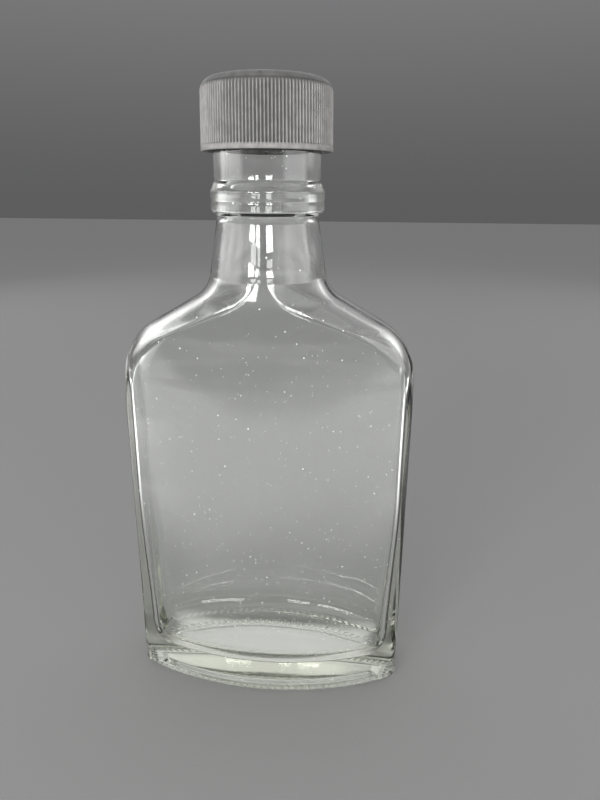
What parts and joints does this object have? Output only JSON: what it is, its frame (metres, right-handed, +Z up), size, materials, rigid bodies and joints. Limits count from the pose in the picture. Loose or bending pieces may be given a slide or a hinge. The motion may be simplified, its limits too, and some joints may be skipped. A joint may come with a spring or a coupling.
{
  "type": "glass hip flask",
  "caption": "Clear glass hip flask with bowed faces, sloping shoulders, a collared round neck and a ribbed black screw cap.",
  "frame": {"origin": "centre of the base, on the plane that the flask stands on", "axes": "+Z up along the neck, X across the width, -Y towards the front face"},
  "size_m": [0.0804, 0.0352, 0.171],
  "materials": {
    "clear_glass": "clear, smooth, slightly wavy inside",
    "black_plastic": "satin moulded plastic with fine upright grooves"
  },
  "bodies": {
    "root": {"flask_glass": "clear_glass", "screw_cap": "black_plastic"}
  },
  "joints": []
}
